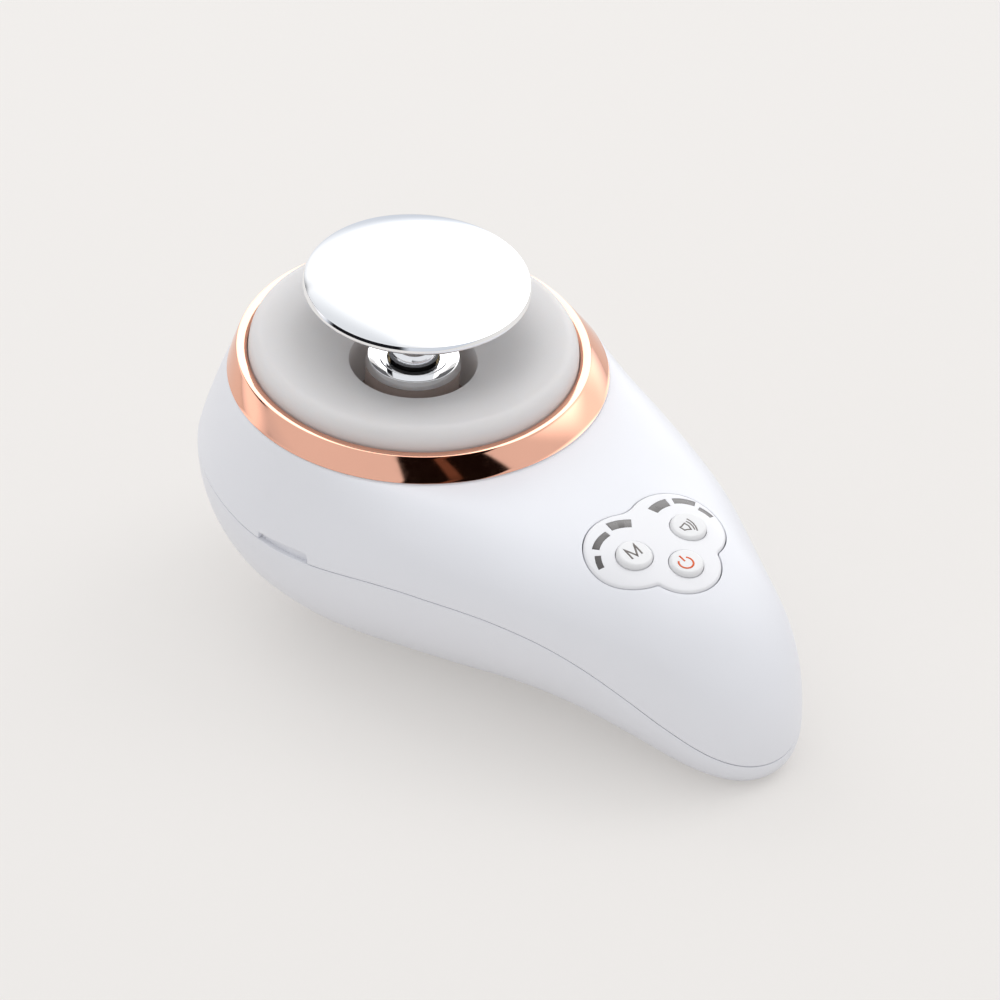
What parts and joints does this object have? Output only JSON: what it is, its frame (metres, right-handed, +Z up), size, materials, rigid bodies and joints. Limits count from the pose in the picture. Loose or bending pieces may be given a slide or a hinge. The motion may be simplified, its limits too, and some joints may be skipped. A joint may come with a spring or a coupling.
{
  "type": "facial toning device",
  "caption": "Hand-held facial toning device: teardrop housing, a floating metal treatment disc over a lit ring, and a small button panel on the grip.",
  "frame": {"origin": "on the rest plane, in the middle of the land under the head that the housing stands on", "axes": "+Z up from the rest plane; +X along the housing from the head towards the tip of the grip; +Y to the side of the level button"},
  "size_m": [0.1504, 0.0884, 0.0776],
  "materials": {
    "shell_white": "gloss",
    "button_white": "satin",
    "copper_plate": "polished",
    "diffuser_white": "satin",
    "plated_metal": "polished",
    "collar_metal": "satin",
    "black_plastic": "satin",
    "chassis_plastic": "matte",
    "bobbin_plastic": "matte",
    "bush_brass": "satin",
    "screw_steel": "satin",
    "yoke_steel": "satin",
    "spring_steel": "gloss",
    "copper_wire": "gloss",
    "board_green": "satin",
    "board_white": "satin",
    "window_grey": "satin",
    "light_lens": "gloss",
    "cell_wrap": "satin",
    "ferrite_black": "matte"
  },
  "bodies": {
    "housing": {"upper_housing": "shell_white", "lower_housing": "shell_white", "trim_ring": "copper_plate", "light_diffuser": "diffuser_white", "light_board": "board_white", "ring_lights": "light_lens", "head_chassis": "chassis_plastic", "chassis_screws": "screw_steel", "well_insert": "black_plastic", "head_collar": "collar_metal", "guide_bush": "bush_brass", "magnet_yoke": "yoke_steel", "yoke_screws": "screw_steel", "drive_magnet": "yoke_steel", "pole_plate": "yoke_steel", "return_spring": "spring_steel", "control_panel": "shell_white", "mode_windows": "window_grey", "level_windows": "window_grey", "control_board": "board_green", "board_screws": "screw_steel", "tact_switches": "black_plastic", "indicator_lamps": "light_lens", "battery_cell": "cell_wrap", "cell_tabs": "screw_steel", "charging_coil": "copper_wire", "ferrite_sheet": "ferrite_black", "driver_board": "board_green", "driver_screws": "screw_steel"},
    "head": {"bearing_sleeve": "black_plastic", "head_neck": "plated_metal", "disc_base": "chassis_plastic", "treatment_disc": "plated_metal", "coil_bobbin": "bobbin_plastic", "drive_coil": "copper_wire"},
    "mode_key": {"mode_button": "button_white"},
    "level_key": {"level_button": "button_white"},
    "power_key": {"power_button": "button_white"}
  },
  "joints": [
    {"name": "head_stroke", "type": "slide", "parent": "housing", "child": "head", "axis": [0.1244, 0, 0.9922], "range_m": [-0.002, 0.0008], "stiffness_N_per_m": 2500, "springref_m": 0.0002, "deforming": ["return_spring"]},
    {"name": "mode_press", "type": "slide", "parent": "housing", "child": "mode_key", "axis": [0.2679, 0, 0.9634], "range_m": [-0.0004, 0], "stiffness_N_per_m": 4000, "springref_m": 0.00002},
    {"name": "level_press", "type": "slide", "parent": "housing", "child": "level_key", "axis": [0.2679, 0, 0.9634], "range_m": [-0.0004, 0], "stiffness_N_per_m": 4000, "springref_m": 0.00002},
    {"name": "power_press", "type": "slide", "parent": "housing", "child": "power_key", "axis": [0.2679, 0, 0.9634], "range_m": [-0.0004, 0], "stiffness_N_per_m": 4000, "springref_m": 0.00002}
  ]
}
